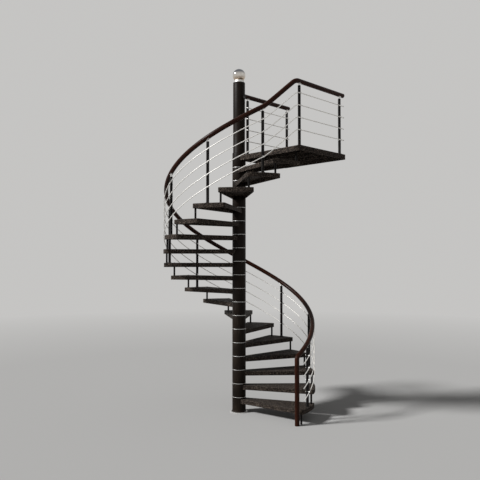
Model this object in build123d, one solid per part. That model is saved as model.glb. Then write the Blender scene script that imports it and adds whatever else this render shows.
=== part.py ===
from build123d import *
import math
import os

os.makedirs("parts", exist_ok=True)

# Millimetres, +Z up. The column axis is x = 0, y = 0 and the floor is z = 0.
# The house wall stands behind the stair, across +Y; the flight turns counter-clockwise going up.

# Flight
rise = 200.0                    # height from one tread top to the next
tread_count = 18
step_angle = 19.7               # turn from one tread to the next, degrees
first_angle = 5.1               # front edge of the first tread, measured from +X
tread_radius = 1122.0           # outer end of a tread
tread_sweep = 24.6              # angle a tread covers at its outer end
tread_hub_half = 70.0           # half width of a tread at the column
tread_skin = 4.0                # folded sheet
tread_skirt = 62.0              # depth of the folded-down edge
tread_corner = 28.0             # corner radius at the outer end

# Column
hub_radius = 100.0
hub_wall = 5.0
ring_radius = 103.0
ring_thick = 5.0
ring_above_tread = 22.0         # underside of a ring above the tread it locks
upper_radius = 90.0
upper_top = 1112.0              # top of the upper tube above the landing
hub_above_landing = 40.0        # the landing's hub tube stands this far above the landing
cap_radius = 75.0
cap_height = 36.0
ball_radius = 97.0
ball_sink = 18.0                # depth of the ball's seat in the cap collar
lid_thick = 5.0                 # plate that closes the upper tube
weld_gap = 0.2                  # sheet to tube before welding
shoulder_chamfer = 2.5

# Foot
plate_radius = 120.0
plate_thick = 10.0
anchor_circle = 68.0            # radius of the circle the floor anchors stand on
anchor_count = 4
anchor_hole = 14.0
foot_lip = 111.0                # widest radius of the flared foot
foot_lip_height = 4.0
foot_height = 20.0
foot_throat = 4.0               # flare still proud of the hub half way up

# Landing
landing_overhang = 98.0         # outer side of the landing beyond the treads' circle
landing_inner_x = 60.0
landing_front_y = -60.0
wall_y = 1000.0
landing_skin = 4.0
landing_skirt = 76.0
rib_thick = 6.0
rib_depth = 56.0
rib_count = 3
wall_hole = 13.0
wall_hole_drop = 44.0
wall_hole_inset = 120.0

# Guard
post_radius = 20.0
post_inset = 37.0               # post centre in from the outer end of a tread
pin_length = 60.0               # from the top of a post to the centre of the rail
baluster_angle = 11.6           # baluster behind the front edge of its tread, degrees
baluster_every = 4
link_radius = 14.0
link_sides = 12
link_angle = 1.6                # link post behind the front edge of the tread above it, degrees
rail_radius = 32.0
rail_sides = 12
rail_height = 880.0             # rail centre above the tread at a baluster
rail_bend = 80.0                # bend from the sloping rail into the newel
bend_share = 0.62               # height of that bend as a share of its reach and rise
newel_angle = 1.6
elbow_arm = 70.0                # straight arm of the elbow before the landing's corner
rod_radius = 6.0
rod_sides = 6
rod_count = 4
rod_drop = 170.0                # centre of the top rod below the centre of the rail
rod_pitch = 168.0
rod_stand_off = 10.0            # from the face of a post to the centre of a rod
rod_start_angle = 8.0
rod_bend = 55.0
rod_end_short = 31.0            # the rods stop this far before the wall line
clamp_radius = 11.0
clamp_sides = 6
clamp_gap = 0.1
pin_radius = 9.0
pin_sides = 8
pin_gap = 0.25
corner_inset = 40.0             # corner post in from the landing's outer side and front
outer_post_back = 90.0          # last outer post before the wall
inner_inset = 70.0              # inner guard in from the landing's open side
inner_post_front = 110.0        # first inner post behind the landing's front
inner_post_back = 47.0          # last inner post before the wall
inner_rail_past = 58.0          # inner rail beyond its first post
cap_disc = 3.0
inner_rod_past = 38.0           # the inner rods reach this far past their first post
run_lift = 0.35                 # how much of the last run's steepening falls at its end

landing_top = rise * (tread_count + 1)
landing_outer_x = tread_radius + landing_overhang
post_circle = tread_radius - post_inset
post_height = rail_height - pin_length
rod_heights = [rail_height - rod_drop - i * rod_pitch for i in range(rod_count)]
corner_post_x = landing_outer_x - corner_inset
outer_post_ys = (landing_front_y + corner_inset, wall_y - outer_post_back)
inner_rail_x = landing_inner_x + inner_inset
inner_post_ys = (landing_front_y + inner_post_front, wall_y - inner_post_back)
inner_rail_start = inner_post_ys[0] - inner_rail_past
rod_circle = post_circle + post_radius + rod_stand_off
rod_line_x = corner_post_x + post_radius + rod_stand_off
inner_rod_x = inner_rail_x + post_radius + rod_stand_off
cut_size = 10 * rail_radius
baluster_treads = range(1, tread_count + 1, baluster_every)


def polar(radius, angle, z=0.0):
    a = math.radians(angle)
    return Vector(radius * math.cos(a), radius * math.sin(a), z)


def front_edge(k):
    return first_angle + (k - 1) * step_angle


def section(radius, sides=0):
    return RegularPolygon(radius, sides) if sides else Circle(radius)


def upright(radius, point, height, sides=0):
    return Pos(point.X, point.Y, point.Z) * extrude(section(radius, sides), amount=height)


def rod_between(radius, start, end, sides=0):
    plane = Plane(origin=start, z_dir=end - start)
    return extrude(plane * section(radius, sides), amount=(end - start).length)


def save(name, *solids):
    shape = solids[0] if len(solids) == 1 else Compound(children=list(solids))
    shape.label = name
    export_step(shape, f"parts/{name}.step")


# Treads: a wedge tray folded from sheet, open below, its narrow end shaped round the hub tube.
def tread_outline():
    half = math.radians(tread_sweep / 2)
    tip_x = tread_radius * math.cos(half)
    tip_y = tread_radius * math.sin(half)
    root_x = hub_radius * 0.4
    with BuildSketch() as sketch:
        with BuildLine():
            Line((root_x, tread_hub_half), (root_x, -tread_hub_half))
            Line((root_x, -tread_hub_half), (tip_x, -tip_y))
            ThreePointArc((tip_x, -tip_y), (tread_radius, 0), (tip_x, tip_y))
            Line((tip_x, tip_y), (root_x, tread_hub_half))
        make_face()
        fillet(sketch.vertices().group_by(Axis.X)[-1], tread_corner)
    return sketch.sketch


def tread_tray():
    outline = tread_outline()
    body = extrude(outline, amount=-tread_skirt)
    hollow = offset(outline, -tread_skin, kind=Kind.INTERSECTION)
    body -= Pos(0, 0, -tread_skin) * extrude(hollow, amount=-tread_skirt)
    body -= Pos(0, 0, -tread_skirt) * extrude(Circle(hub_radius + weld_gap), amount=tread_skirt)
    return body.solids().sort_by(Axis.X)[-1]


tray = tread_tray()
for k in range(1, tread_count + 1):
    turn = front_edge(k) + tread_sweep / 2
    save(f"tread_{k:02d}", Pos(0, 0, rise * k) * Rot(0, 0, turn) * tray)


# Column: hubs one rise high, stacked with a bright disc at every joint and a flare at the foot.
# The first hub is open inside for the floor anchors; the discs close all the others.
def ring_base(k):
    return rise * k + ring_above_tread


def disc(radius, low, high):
    return Pos(0, 0, low) * extrude(Circle(radius), amount=high - low)


with BuildSketch(Plane.XZ) as foot_profile:
    with BuildLine():
        Polyline(
            (hub_radius - hub_wall, plate_thick),
            (foot_lip, plate_thick),
            (foot_lip, plate_thick + foot_lip_height),
            (hub_radius + foot_throat, plate_thick + foot_height / 2),
            (hub_radius, plate_thick + foot_height),
            (hub_radius, ring_base(1)),
            (hub_radius - hub_wall, ring_base(1)),
            close=True,
        )
    make_face()
hubs = [revolve(foot_profile.sketch, Axis.Z)]
for k in range(2, tread_count + 1):
    hubs.append(disc(hub_radius, ring_base(k - 1) + ring_thick, ring_base(k)))
hub_top = landing_top + hub_above_landing
hubs.append(disc(hub_radius, ring_base(tread_count) + ring_thick, hub_top))
save("column_hub_tubes", *hubs)

column_top = landing_top + upper_top
shoulder = disc(hub_radius, hub_top, hub_top + ring_thick)
shoulder = chamfer(shoulder.edges().group_by(Axis.Z)[-1], shoulder_chamfer)
upper = shoulder + disc(upper_radius, hub_top, column_top)
upper -= disc(upper_radius - hub_wall, hub_top + ring_thick, column_top - lid_thick)
save("column_upper_tube", upper)

ball_z = column_top + cap_height - ball_sink + ball_radius
finial = disc(cap_radius, column_top, column_top + cap_height) + Pos(0, 0, ball_z) * Sphere(ball_radius)
rings = [disc(ring_radius, ring_base(k), ring_base(k) + ring_thick) for k in range(1, tread_count + 1)]
save("column_rings_and_ball", *rings, finial)

# Foot: floor plate with anchor holes inside the hollow first hub.
plate = extrude(Circle(plate_radius), amount=plate_thick)
for i in range(anchor_count):
    spot = polar(anchor_circle, 45 + i * 360 / anchor_count)
    plate -= upright(anchor_hole / 2, spot, plate_thick)
save("foot_plate", plate)


# Landing: a square tray at the last rise, notched round the hub tube, with ribs below.
def landing_plan(inset=0.0):
    width = landing_outer_x - landing_inner_x - 2 * inset
    depth = wall_y - landing_front_y - 2 * inset
    centre_x = (landing_outer_x + landing_inner_x) / 2
    centre_y = (wall_y + landing_front_y) / 2
    return Pos(centre_x, centre_y) * Rectangle(width, depth)


deck = extrude(landing_plan(), amount=-landing_skirt)
deck -= Pos(0, 0, -landing_skin) * extrude(landing_plan(landing_skin), amount=-landing_skirt)
deck -= Pos(0, 0, -landing_skirt) * extrude(Circle(hub_radius + weld_gap), amount=landing_skirt)
deck = Pos(0, 0, landing_top) * deck.solids().sort_by(SortBy.VOLUME)[-1]
wall_hole_z = landing_top - wall_hole_drop
for x in (landing_inner_x + wall_hole_inset, landing_outer_x - wall_hole_inset):
    inside = Vector(x, wall_y - landing_skin, wall_hole_z)
    deck -= rod_between(wall_hole / 2, inside, Vector(x, wall_y, wall_hole_z))
save("landing_tray", deck)

rib_gap = 0.2
ribs = []
rib_x0 = landing_inner_x + landing_skin + rib_gap
rib_x1 = landing_outer_x - landing_skin - rib_gap
for i in range(rib_count):
    y = landing_front_y + (wall_y - landing_front_y) * (i + 1) / (rib_count + 1)
    rib = Box(rib_x1 - rib_x0, rib_thick, rib_depth)
    z = landing_top - landing_skin - rib_gap - rib_depth / 2
    ribs.append(Pos((rib_x0 + rib_x1) / 2, y, z) * rib)
save("landing_ribs", *ribs)


# Guard line: one slope over the flight, shared by the rail and the four rods. Between two
# balusters each runs as a pair of arcs that meet without a kink, as bent tube does.
baluster_angles = [front_edge(k) + baluster_angle for k in baluster_treads]
last_baluster = baluster_angles[-1]
up = Vector(0, 0, 1)
level = Vector(0, 1, 0)


def slope(radius):
    return rise / (math.radians(step_angle) * radius)


def climb_point(radius, angle, height):
    z = rise * (1 + (angle - first_angle - baluster_angle) / step_angle) + height
    return polar(radius, angle, z)


def climb_tangent(radius, angle):
    a = math.radians(angle)
    return Vector(-math.sin(a), math.cos(a), slope(radius)).normalized()


def arc_pair(start, start_tangent, end, end_tangent):
    chord = end - start
    total = start_tangent + end_tangent
    a = 2 * (start_tangent.dot(end_tangent) - 1)
    b = -2 * chord.dot(total)
    c = chord.dot(chord)
    reach = (-b - math.sqrt(b * b - 4 * a * c)) / (2 * a)
    middle = (start + start_tangent * reach + end - end_tangent * reach) * 0.5
    first = TangentArc(start, middle, tangent=start_tangent)
    second = TangentArc(end, middle, tangent=end_tangent * -1)
    return [first, second]


def climb_edges(radius, height, angles):
    edges = []
    for low, high in zip(angles[:-1], angles[1:]):
        edges += arc_pair(
            climb_point(radius, low, height),
            climb_tangent(radius, low),
            climb_point(radius, high, height),
            climb_tangent(radius, high),
        )
    return edges


# From the last baluster the guard leaves the circle straight on and climbs to the landing's corner.
def corner_run(radius, line_x, height):
    a = math.radians(last_baluster)
    run = (radius * math.cos(a) - line_x) / math.sin(a)
    leave = climb_point(radius, last_baluster, height)
    corner = Vector(line_x, leave.Y + run * math.cos(a), landing_top + height)
    mean_slope = (corner.Z - leave.Z) / run
    end_slope = mean_slope + (mean_slope - slope(radius)) * run_lift
    return leave, corner, Vector(-math.sin(a), math.cos(a), end_slope).normalized()


# Spiral rail: newel from the floor, bend, climb and the run to a mitred elbow at the landing's corner.
newel_foot = polar(post_circle, newel_angle)
bend_angle = newel_angle + math.degrees(rail_bend / post_circle)
bend_top = climb_point(post_circle, bend_angle, rail_height)
bend_drop = rail_bend * (1 + slope(post_circle)) * bend_share
newel_head = Vector(newel_foot.X, newel_foot.Y, bend_top.Z - bend_drop)
leave, corner, run_end = corner_run(post_circle, corner_post_x, rail_height)
elbow_start = corner - run_end * elbow_arm
rail_edges = arc_pair(newel_head, up, bend_top, climb_tangent(post_circle, bend_angle))
rail_edges += climb_edges(post_circle, rail_height, [bend_angle] + baluster_angles)
rail_edges += arc_pair(leave, climb_tangent(post_circle, last_baluster), elbow_start, run_end)
rail_start = Plane(origin=newel_head) * section(rail_radius, rail_sides)
spiral_rail = sweep(rail_start, path=Wire(rail_edges), is_frenet=True, clean=False)
save("rail_newel", upright(rail_radius, newel_foot, newel_head.Z))
save("rail_spiral", spiral_rail)

rail_end = Vector(corner_post_x, wall_y - cap_disc, corner.Z)
mitre = Plane(origin=corner, z_dir=run_end + level)
elbow = rod_between(rail_radius, elbow_start, corner + run_end * elbow_arm)
elbow -= extrude(mitre * Rectangle(cut_size, cut_size), amount=cut_size)
level_rail = rod_between(rail_radius, corner - level * elbow_arm, rail_end)
level_rail -= extrude(mitre * Rectangle(cut_size, cut_size), amount=-cut_size)
save("rail_landing", elbow + level_rail)

inner_start = Vector(inner_rail_x, inner_rail_start, corner.Z)
inner_end = Vector(inner_rail_x, wall_y - cap_disc, corner.Z)
save("rail_inner", rod_between(rail_radius, inner_start, inner_end))

caps = [
    rod_between(rail_radius, rail_end, rail_end + level * cap_disc),
    rod_between(rail_radius, inner_end, inner_end + level * cap_disc),
    rod_between(rail_radius, inner_start, inner_start - level * cap_disc),
]
save("rail_end_caps", *caps)

# Posts carry the rail on short pins and the rods on short round clamps.
pins = []
clamps = []


def pin_under(foot, along):
    top = foot + up * post_height
    rail_at = foot + up * rail_height
    pin = upright(pin_radius, top, rail_height - post_height, pin_sides)
    across = up.cross(along).normalized()
    square_up = along.cross(across)
    seat = Plane(origin=rail_at - square_up * (rail_radius + pin_gap), x_dir=across, z_dir=square_up)
    return pin - extrude(seat * Rectangle(cut_size, cut_size), amount=cut_size)


def clamp_at(foot, outward, rod_point, along):
    start = Vector(foot.X, foot.Y, rod_point.Z) + outward * (post_radius + clamp_gap)
    body = rod_between(clamp_radius, start, rod_point, clamp_sides)
    past = along * 2 * clamp_radius
    bore = (rod_radius + clamp_gap) / math.cos(math.pi / rod_sides)
    return body - rod_between(bore, rod_point - past, rod_point + past, rod_sides)


balusters = []
for k, angle in zip(baluster_treads, baluster_angles):
    foot = polar(post_circle, angle, rise * k)
    balusters.append(upright(post_radius, foot, post_height))
    pins.append(pin_under(foot, climb_tangent(post_circle, angle)))
    for height in rod_heights:
        at = climb_point(rod_circle, angle, height)
        clamps.append(clamp_at(foot, polar(1.0, angle), at, climb_tangent(rod_circle, angle)))
save("balusters", *balusters)


def landing_posts(x, ys, rod_x):
    posts = []
    for y in ys:
        foot = Vector(x, y, landing_top)
        posts.append(upright(post_radius, foot, post_height))
        pins.append(pin_under(foot, level))
        for height in rod_heights:
            at = Vector(rod_x, y, landing_top + height)
            clamps.append(clamp_at(foot, Vector(1, 0, 0), at, level))
    return posts


save("landing_outer_posts", *landing_posts(corner_post_x, outer_post_ys, rod_line_x))
save("landing_inner_posts", *landing_posts(inner_rail_x, inner_post_ys, inner_rod_x))
save("rail_pins", *pins)
save("rod_clamps", *clamps)


# Link posts tie every tread to the next at its outer end; the first stands on the floor.
def link_post(k):
    spot = polar(post_circle, front_edge(k + 1) + link_angle, rise * k)
    skin = landing_skin if k == tread_count else tread_skin
    return upright(link_radius, spot, rise - skin, link_sides)


save("link_posts_lower", *[link_post(k) for k in range(0, 7)])
save("link_posts_middle", *[link_post(k) for k in range(7, 13)])
save("link_posts_upper", *[link_post(k) for k in range(13, tread_count + 1)])

# Rods: four lines that climb outside the balusters, bend at the landing's corner and run level.
for number, height in enumerate(rod_heights, start=1):
    first = climb_point(rod_circle, baluster_angles[0], height)
    free_end = climb_point(rod_circle, rod_start_angle, height)
    leave, corner, run_end = corner_run(rod_circle, rod_line_x, height)
    before = corner - run_end * rod_bend
    after = corner + level * rod_bend
    end = Vector(rod_line_x, wall_y - rod_end_short, corner.Z)
    edges = [TangentArc(first, free_end, tangent=climb_tangent(rod_circle, baluster_angles[0]) * -1)]
    edges += climb_edges(rod_circle, height, baluster_angles)
    edges += arc_pair(leave, climb_tangent(rod_circle, last_baluster), before, run_end)
    edges += [TangentArc(before, after, tangent=run_end), Line(after, end)]
    entry = Plane(origin=free_end, z_dir=edges[0] % 1 * -1)
    rod = sweep(entry * section(rod_radius, rod_sides), path=Wire(edges), is_frenet=True, clean=False)
    save(f"rod_{number}", rod)

inner_rods = []
for height in rod_heights:
    start = Vector(inner_rod_x, inner_post_ys[0] - inner_rod_past, landing_top + height)
    end = Vector(inner_rod_x, wall_y - rod_end_short, landing_top + height)
    inner_rods.append(rod_between(rod_radius, start, end, rod_sides))
save("inner_rods", *inner_rods)
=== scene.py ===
import math

import bmesh
import bpy
from mathutils import Matrix, Vector


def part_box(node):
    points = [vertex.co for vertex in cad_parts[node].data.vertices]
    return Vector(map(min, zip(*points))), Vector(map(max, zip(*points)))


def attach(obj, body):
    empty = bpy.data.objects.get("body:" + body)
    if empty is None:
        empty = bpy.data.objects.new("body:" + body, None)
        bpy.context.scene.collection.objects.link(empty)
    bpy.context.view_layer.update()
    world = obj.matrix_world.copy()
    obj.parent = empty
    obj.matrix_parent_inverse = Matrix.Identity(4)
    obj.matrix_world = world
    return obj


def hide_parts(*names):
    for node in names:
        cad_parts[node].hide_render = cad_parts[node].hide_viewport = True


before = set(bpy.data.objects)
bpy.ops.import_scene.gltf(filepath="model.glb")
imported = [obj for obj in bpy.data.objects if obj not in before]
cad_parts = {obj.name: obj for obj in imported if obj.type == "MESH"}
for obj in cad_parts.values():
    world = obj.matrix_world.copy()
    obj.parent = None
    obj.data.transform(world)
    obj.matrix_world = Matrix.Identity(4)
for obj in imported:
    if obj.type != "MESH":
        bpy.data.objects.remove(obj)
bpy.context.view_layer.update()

# The view, the floor and the light. The camera stands in front of the open side of the stair, a
# little above head height. A pale level floor fades into a pale surround, and one wide soft sun
# comes from the left front while the surround fills the shadows.
camera_place = (6.138, -6.118, 2.256)
camera_pitch = 1.891
camera_turn = 45.0
camera_angle = 45.0
surround = (0.56, 0.555, 0.545, 1.0)
sky_strength = 0.15
sun_strength = 3.5
sun_spread = 10.0
sun_from = Vector((-0.55, -1.0, 0.78))
floor_half = 60.0
fade_near = 6.0
fade_far = 17.0


def into_scene(name, data):
    thing = bpy.data.objects.new(name, data)
    bpy.context.collection.objects.link(thing)
    return thing


lens = bpy.data.cameras.new("view")
lens.sensor_fit = "HORIZONTAL"
lens.angle = math.radians(camera_angle)
camera = into_scene("view", lens)
camera.location = camera_place
camera.rotation_euler = (math.radians(90 + camera_pitch), 0.0, math.radians(camera_turn))
bpy.context.scene.camera = camera
bpy.context.scene.view_settings.view_transform = "Standard"


def wire(tree, socket, value):
    if isinstance(value, bpy.types.NodeSocket):
        tree.links.new(value, socket)
    else:
        socket.default_value = value


def feed(tree, node, **sockets):
    for name, value in sockets.items():
        wire(tree, node.inputs[name.replace("_", " ")], value)
    return node


def put(tree, kind, **sockets):
    return feed(tree, tree.nodes.new(kind), **sockets)


def calc(tree, operation, first, second=0.0):
    node = tree.nodes.new("ShaderNodeMath")
    node.operation = operation
    wire(tree, node.inputs[0], first)
    wire(tree, node.inputs[1], second)
    return node.outputs[0]


def levels(tree, value, low, high, to_low=0.0, to_high=1.0):
    node = put(tree, "ShaderNodeMapRange", Value=value, From_Min=low, From_Max=high)
    return feed(tree, node, To_Min=to_low, To_Max=to_high).outputs[0]


def seen_directly(tree):
    path = tree.nodes.new("ShaderNodeLightPath")
    seen = calc(tree, "MAXIMUM", path.outputs["Is Camera Ray"], path.outputs["Is Glossy Ray"])
    return calc(tree, "MAXIMUM", seen, path.outputs["Is Transmission Ray"])


def surface(tree, kind, amount, first, second):
    mix = put(tree, "ShaderNodeMixShader", Fac=amount)
    tree.links.new(first.outputs[0], mix.inputs[1])
    tree.links.new(second.outputs[0], mix.inputs[2])
    tree.links.new(mix.outputs[0], tree.nodes.new(kind).inputs["Surface"])


def place_on(tree):
    return tree.nodes.new("ShaderNodeTexCoord").outputs["Object"]


world = bpy.data.worlds.new("surround")
world.use_nodes = True
bpy.context.scene.world = world
sky = world.node_tree
sky.nodes.clear()
fill = put(sky, "ShaderNodeBackground", Color=(1.0, 1.0, 1.0, 1.0), Strength=sky_strength)
shown = put(sky, "ShaderNodeBackground", Color=surround, Strength=1.0)
surface(sky, "ShaderNodeOutputWorld", seen_directly(sky), fill, shown)

sun = bpy.data.lights.new("sun", "SUN")
sun.energy = sun_strength
sun.angle = math.radians(sun_spread)
into_scene("sun", sun).rotation_euler = sun_from.to_track_quat("Z", "Y").to_euler()

ground = bpy.data.materials.new("pale_floor")
ground.use_nodes = True
tree = ground.node_tree
tree.nodes.clear()
distance = put(tree, "ShaderNodeVectorMath", Vector=place_on(tree))
distance.operation = "LENGTH"
fade = levels(tree, distance.outputs["Value"], fade_near, fade_far)
fade = calc(tree, "MULTIPLY", fade, seen_directly(tree))
matt = put(tree, "ShaderNodeBsdfDiffuse", Color=surround)
haze = put(tree, "ShaderNodeEmission", Color=surround, Strength=1.0)
surface(tree, "ShaderNodeOutputMaterial", fade, matt, haze)
floor_mesh = bpy.data.meshes.new("floor")
signs = ((-1, -1), (1, -1), (1, 1), (-1, 1))
corners = [(x * floor_half, y * floor_half, 0) for x, y in signs]
floor_mesh.from_pydata(corners, [], [(0, 1, 2, 3)])
floor_mesh.materials.append(ground)
floor = into_scene("floor", floor_mesh)

# Treads: eighteen wedge trays folded from 4 mm sheet, with rounded outer corners, open below and
# notched round the column. Each is powder-coated dark brown with a coarse, speckled grit.
rise = 0.200
tread_count = 18
step_angle = 19.7
first_angle = 5.1
tread_radius = 1.122
tread_sweep = 24.6
tread_hub_half = 0.070
tread_skirt = 0.062
tread_corner = 0.028
sheet = 0.004
fold_radius = 0.005
fold_steps = 4
wear_on_top = 0.007
wear_on_side = 0.006
inner_fold = 0.002
rim_round = 0.0008
hub_radius = 0.100
hub_gap = 0.0002
notch_low = -0.12
notch_high = 0.05
notch_sides = 144
root_x = 0.040
corner_steps = 9
rim_steps = 24
grit_dark = (0.0042, 0.0032, 0.0032, 1.0)
grit_brown = (0.0160, 0.0122, 0.0110, 1.0)
grit_speck = (0.300, 0.240, 0.192, 1.0)
grit_dust = (0.085, 0.073, 0.066, 1.0)
grit_bare = (0.14, 0.125, 0.115, 1.0)
grit_gloss = 0.05
mottle_grain = 0.060
speck_grain = 0.0055
speck_share = 0.5
clump_grain = 0.018
clump_share = 0.42
dust_grain = 0.17
dust_share = 0.24
rub_grain = 0.012
rub_share = 0.7
sand_grain = 0.0028
sand_depth = 0.0005
lump_grain = 0.011
lump_depth = 0.0007


def blend(tree, amount, first, second):
    node = tree.nodes.new("ShaderNodeMix")
    node.data_type = "RGBA"
    wire(tree, node.inputs[0], amount)
    wire(tree, node.inputs[6], first)
    wire(tree, node.inputs[7], second)
    return node.outputs[2]


def tinted(tree, colour, tint, amount, share):
    return blend(tree, calc(tree, "MULTIPLY", amount, share), colour, tint)


def grains(tree, where, size, detail=2.0, roughness=0.5):
    noise = put(tree, "ShaderNodeTexNoise", Vector=where, Scale=1.0 / size)
    return feed(tree, noise, Detail=detail, Roughness=roughness).outputs[0]


def stretched(tree, where, scale):
    return put(tree, "ShaderNodeMapping", Vector=where, Scale=scale).outputs[0]


def carried(tree, name):
    node = tree.nodes.new("ShaderNodeAttribute")
    node.attribute_name = name
    return node


def relief(tree, height, depth, below=None):
    bump = put(tree, "ShaderNodeBump", Height=height, Distance=depth)
    if below is not None:
        tree.links.new(below, bump.inputs["Normal"])
    return bump.outputs[0]


def new_finish(name):
    finish = bpy.data.materials.new(name)
    finish.use_nodes = True
    tree = finish.node_tree
    tree.nodes.clear()
    shader = tree.nodes.new("ShaderNodeBsdfPrincipled")
    out = tree.nodes.new("ShaderNodeOutputMaterial")
    tree.links.new(shader.outputs[0], out.inputs["Surface"])
    return finish, tree, shader


def facing_up(tree):
    normal = tree.nodes.new("ShaderNodeNewGeometry").outputs["Normal"]
    return put(tree, "ShaderNodeSeparateXYZ", Vector=normal).outputs["Z"]


def grit_finish():
    finish, tree, shader = new_finish("tread_grit_coat")
    where = place_on(tree)
    mottle = grains(tree, where, mottle_grain, 4.0, 0.6)
    specks = levels(tree, grains(tree, where, speck_grain, 1.0), 0.57, 0.65)
    clumps = levels(tree, grains(tree, where, clump_grain, 2.0, 0.7), 0.56, 0.65)
    colour = blend(tree, levels(tree, mottle, 0.35, 0.65), grit_dark, grit_brown)
    colour = tinted(tree, colour, grit_speck, clumps, clump_share)
    colour = tinted(tree, colour, grit_speck, specks, speck_share)
    dusty = levels(tree, grains(tree, where, dust_grain, 5.0, 0.65), 0.42, 0.70)
    dusty = calc(tree, "MULTIPLY", dusty, levels(tree, facing_up(tree), 0.6, 0.95))
    colour = tinted(tree, colour, grit_dust, dusty, dust_share)
    rubbed = levels(tree, grains(tree, where, rub_grain, 3.0), 0.50, 0.66)
    rubbed = calc(tree, "MULTIPLY", rubbed, carried(tree, "wear").outputs["Fac"])
    colour = tinted(tree, colour, grit_bare, rubbed, rub_share)
    blur = levels(tree, mottle, 0.3, 0.7, 0.58, 0.74)
    sand = relief(tree, grains(tree, where, sand_grain, 1.0), sand_depth)
    lumps = relief(tree, grains(tree, where, lump_grain, 2.0), lump_depth, sand)
    feed(tree, shader, Base_Color=colour, Roughness=blur, Normal=lumps)
    feed(tree, shader, Specular_IOR_Level=grit_gloss)
    return finish


def join_rows(bm, rows, capped=True):
    for low, high in zip(rows, rows[1:]):
        for i in range(len(low)):
            j = (i + 1) % len(low)
            bm.faces.new((low[i], low[j], high[j], high[i]))
    if capped:
        bm.faces.new(list(reversed(rows[0])))
        bm.faces.new(rows[-1])


def wedge_outline():
    half = math.radians(tread_sweep / 2)
    tip = Vector((tread_radius * math.cos(half), tread_radius * math.sin(half)))
    root = Vector((root_x, tread_hub_half))
    along = (tip - root).normalized()
    inward = Vector((along.y, -along.x))
    start = root + inward * tread_corner
    reach = tread_radius - tread_corner
    b = start.dot(along)
    run = -b + math.sqrt(b * b - start.dot(start) + reach * reach)
    centre = start + along * run
    rim_turn = math.atan2(centre.y, centre.x)
    side_turn = math.atan2(-inward.y, -inward.x)
    upper = []
    for i in range(corner_steps + 1):
        turn = rim_turn + (side_turn - rim_turn) * i / corner_steps
        upper.append(centre + Vector((math.cos(turn), math.sin(turn))) * tread_corner)
    rim = []
    for i in range(1, rim_steps):
        turn = rim_turn * (2 * i / rim_steps - 1)
        rim.append(Vector((math.cos(turn), math.sin(turn))) * tread_radius)
    lower = [Vector((p.x, -p.y)) for p in reversed(upper)]
    return [Vector((root_x, -tread_hub_half))] + lower + rim + upper + [root]


def inset_outline(outline, inset):
    moved = []
    for i, point in enumerate(outline):
        before = (point - outline[i - 1]).normalized()
        after = (outline[(i + 1) % len(outline)] - point).normalized()
        first = Vector((-before.y, before.x))
        second = Vector((-after.y, after.x))
        moved.append(point + (first + second) * (inset / (1 + first.dot(second))))
    return moved


def folded_tray(ring, skirt, top):
    section = [(fold_radius + wear_on_top, 0.0, 0.0)]
    for i in range(fold_steps + 1):
        turn = math.radians(90 * i / fold_steps)
        drop = fold_radius * (1 - math.cos(turn))
        section.append((fold_radius * (1 - math.sin(turn)), -drop, 1.0))
    section += [(0.0, -fold_radius - wear_on_side, 0.0), (0.0, -skirt + wear_on_side, 0.0)]
    section += [(0.0, -skirt + rim_round, 0.5), (rim_round, -skirt, 0.5)]
    section += [(sheet - rim_round, -skirt, 0.3), (sheet, -skirt + rim_round, 0.0)]
    section += [(sheet, -sheet - inner_fold, 0.0), (sheet + inner_fold, -sheet, 0.0)]
    bm = bmesh.new()
    wear = bm.verts.layers.float.new("wear")
    rows = []
    for inset, height, rubbed in section:
        row = [bm.verts.new((p.x, p.y, top + height)) for p in ring(inset)]
        for vertex in row:
            vertex[wear] = rubbed
        rows.append(row)
    join_rows(bm, rows)
    return bm


def turned(bm, profile, place=Matrix.Identity(4), sides=32):
    rows = []
    for radius, height in profile:
        row = []
        for i in range(sides):
            turn = 2 * math.pi * i / sides
            spot = Vector((radius * math.cos(turn), radius * math.sin(turn), height))
            row.append(bm.verts.new(place @ spot))
        rows.append(row)
    join_rows(bm, rows)


def as_object(bm, name):
    bmesh.ops.recalc_face_normals(bm, faces=bm.faces)
    mesh = bpy.data.meshes.new(name)
    bm.to_mesh(mesh)
    bm.free()
    return into_scene(name, mesh)


def notched(bm, low, high):
    tray = as_object(bm, "tray_blank")
    cutter_bm = bmesh.new()
    cut_radius = hub_radius + hub_gap
    turned(cutter_bm, [(cut_radius, low), (cut_radius, high)], sides=notch_sides)
    cutter = as_object(cutter_bm, "hub_cutter")
    cut = tray.modifiers.new("notch", "BOOLEAN")
    cut.operation = "DIFFERENCE"
    cut.solver = "EXACT"
    cut.object = cutter
    bpy.context.view_layer.update()
    shape = tray.evaluated_get(bpy.context.evaluated_depsgraph_get())
    mesh = bpy.data.meshes.new_from_object(shape)
    for spare in (tray, cutter):
        bpy.data.objects.remove(spare)
    result = bmesh.new()
    result.from_mesh(mesh)
    waste = [v for v in result.verts if math.hypot(v.co.x, v.co.y) < hub_radius - 0.001]
    bmesh.ops.delete(result, geom=waste, context="VERTS")
    return result


def finished(bm, name, finish, nodes=(), smooth=38.0):
    piece = as_object(bm, name)
    piece.data.shade_smooth()
    piece.data.set_sharp_from_angle(angle=math.radians(smooth))
    piece.data.materials.append(finish)
    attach(piece, "root")
    if nodes:
        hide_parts(*nodes)
    return piece


def front_edge(k):
    return first_angle + (k - 1) * step_angle


grit = grit_finish()
wedge_plan = wedge_outline()
wedge = folded_tray(lambda inset: inset_outline(wedge_plan, inset), tread_skirt, 0.0)
wedge = notched(wedge, notch_low, notch_high)
for k in range(1, tread_count + 1):
    turn = math.radians(front_edge(k) + tread_sweep / 2)
    tread = wedge.copy()
    tread.transform(Matrix.Translation((0, 0, rise * k)) @ Matrix.Rotation(turn, 4, "Z"))
    finished(tread, f"tread_tray_{k:02d}", grit, [f"tread_{k:02d}"])
wedge.free()

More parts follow.
